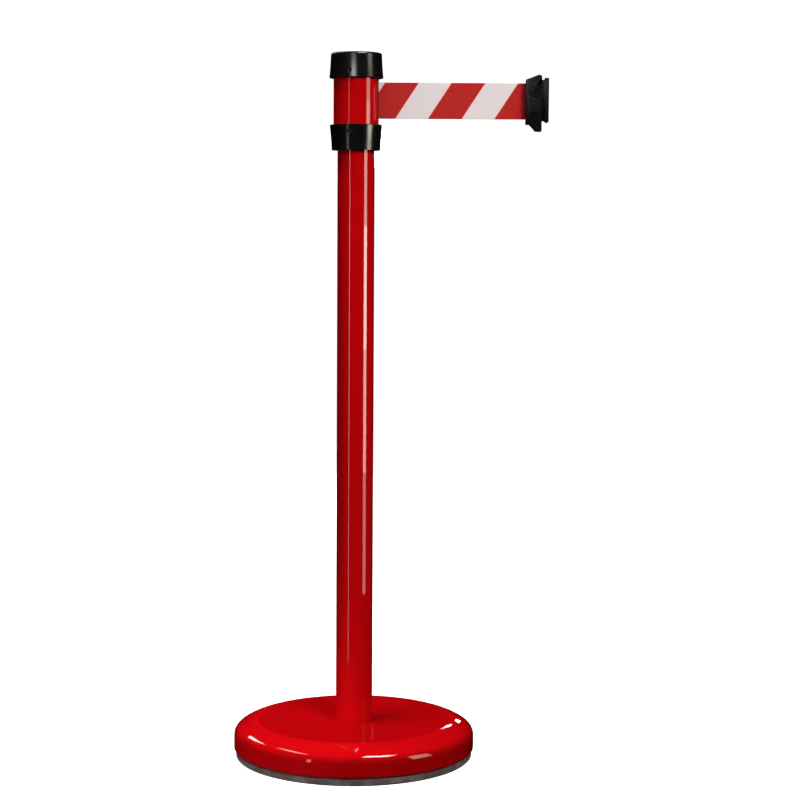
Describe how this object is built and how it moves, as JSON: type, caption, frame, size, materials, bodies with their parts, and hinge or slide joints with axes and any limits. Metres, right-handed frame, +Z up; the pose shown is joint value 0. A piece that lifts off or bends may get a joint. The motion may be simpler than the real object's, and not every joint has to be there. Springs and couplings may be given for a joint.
{
  "type": "retractable belt stanchion",
  "caption": "Free-standing crowd barrier post with a domed weighted base and a spring-wound belt that pulls out of its head and ends in a clip.",
  "frame": {"origin": "middle of the base's underside, on the floor, below the post's axis", "axes": "+Z up along the post; +X is the way the belt pulls out; the front view looks along +Y"},
  "size_m": [0.4376, 0.3416, 0.9926],
  "materials": {
    "red_paint": "gloss",
    "red_cover": "high gloss",
    "black_plastic": "satin",
    "rubber": "matt",
    "cast_iron": "rough",
    "zinc_steel": "satin zinc plate",
    "spring_steel": "blued",
    "white_plastic": "satin",
    "grey_plastic": "satin",
    "bronze": "satin",
    "belt": "woven, red and white diagonal bands"
  },
  "bodies": {
    "root": {"floor_tray": "rubber", "base_weight": "cast_iron", "base_cover": "red_cover", "tie_bolt": "zinc_steel", "tie_spring_washer": "zinc_steel", "tie_washer": "zinc_steel", "post_tube": "red_paint", "foot_plug": "zinc_steel", "post_adapter": "grey_plastic", "lower_collar": "black_plastic", "collar_screws": "zinc_steel", "head_cap": "black_plastic", "cap_screws": "zinc_steel", "head_tube": "red_paint", "slot_liner": "black_plastic", "top_ring": "grey_plastic", "cassette_base_plate": "zinc_steel", "cassette_top_plate": "zinc_steel", "cassette_pillars": "zinc_steel", "pillar_screws": "zinc_steel", "guide_pins": "zinc_steel", "spindle": "zinc_steel", "spindle_ring": "spring_steel", "thrust_washers": "white_plastic", "power_spring": "spring_steel", "belt_free": "belt"},
    "drum": {"drum_core": "white_plastic", "drum_top_flange": "white_plastic", "belt_anchor_pin": "zinc_steel", "drum_bushes": "bronze", "belt_wound": "belt", "spring_barrel": "zinc_steel", "barrel_rivets": "zinc_steel", "barrel_lid": "zinc_steel"},
    "belt_end": {"clip_front_half": "black_plastic", "clip_rear_half": "black_plastic", "belt_bar": "zinc_steel", "clip_screws": "zinc_steel"}
  },
  "joints": [
    {"name": "belt_pull", "type": "slide", "parent": "root", "child": "belt_end", "axis": [1, 0, 0], "range_m": [-0.2, 1.8], "deforming": ["belt_free"]},
    {"name": "drum_spin", "type": "hinge", "parent": "root", "child": "drum", "pos_m": [0, 0, 0.927], "axis": [0, 0, 1], "range_deg": [-640, 5735], "deforming": ["power_spring"]}
  ],
  "couplings": [
    {"joint": "drum_spin", "follows": "belt_pull", "rad_per_m": 55.556}
  ]
}
